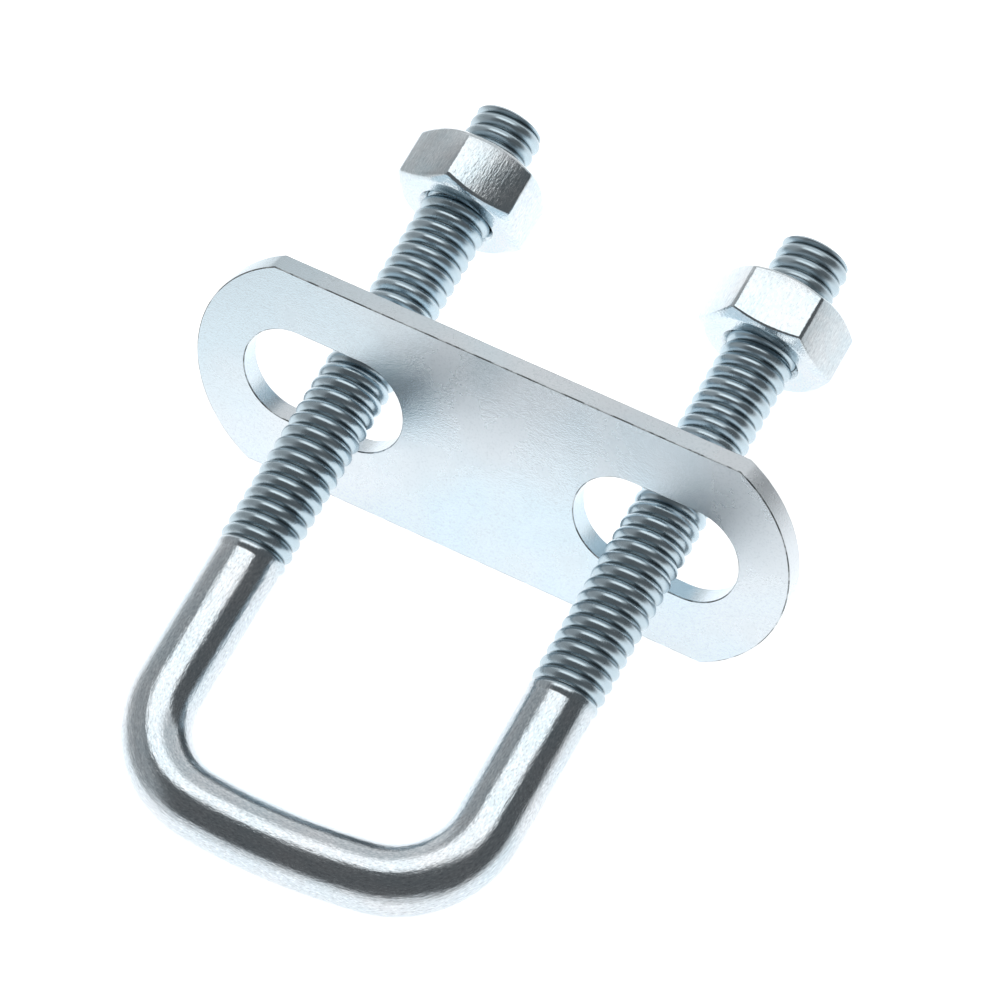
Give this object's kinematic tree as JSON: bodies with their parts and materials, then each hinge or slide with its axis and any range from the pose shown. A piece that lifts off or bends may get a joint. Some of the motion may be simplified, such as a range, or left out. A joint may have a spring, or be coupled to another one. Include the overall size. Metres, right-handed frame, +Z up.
{
  "type": "u-bolt",
  "caption": "Square-bend U-bolt with threaded legs, slotted backing plate and hexagon nuts, the plate loose and leaning on the legs.",
  "frame": {"origin": "centre of the bounding box at floor level: under the middle of the plate's length and halfway along the bolt, at the height of the plate's lower edge", "axes": "+Y along the legs from the crossbar to the threaded ends, +X across the legs from nut_left to nut_right, +Z up, square to the plane of the U"},
  "size_m": [0.056, 0.07, 0.0192],
  "materials": {
    "u_bolt_rod": "bright blue-white zinc plating, polished shank and rolled thread",
    "backing_plate": "satin blue-white zinc plating with a fine grain",
    "nut_left": "bright blue-white zinc plating",
    "nut_right": "bright blue-white zinc plating"
  },
  "bodies": {
    "rod": {"u_bolt_rod": "u_bolt_rod"},
    "plate": {"backing_plate": "backing_plate"},
    "left_nut": {"nut_left": "nut_left"},
    "right_nut": {"nut_right": "nut_right"}
  },
  "joints": [
    {"name": "plate_slide", "type": "slide", "parent": "rod", "child": "plate", "axis": [0, 1, 0], "range_m": [-0.03048, 0]},
    {"name": "nut_left_travel", "type": "slide", "parent": "rod", "child": "left_nut", "axis": [0, 1, 0], "range_m": [-0.01397, 0.00762]},
    {"name": "nut_right_travel", "type": "slide", "parent": "rod", "child": "right_nut", "axis": [0, 1, 0], "range_m": [-0.01397, 0.00762]}
  ]
}
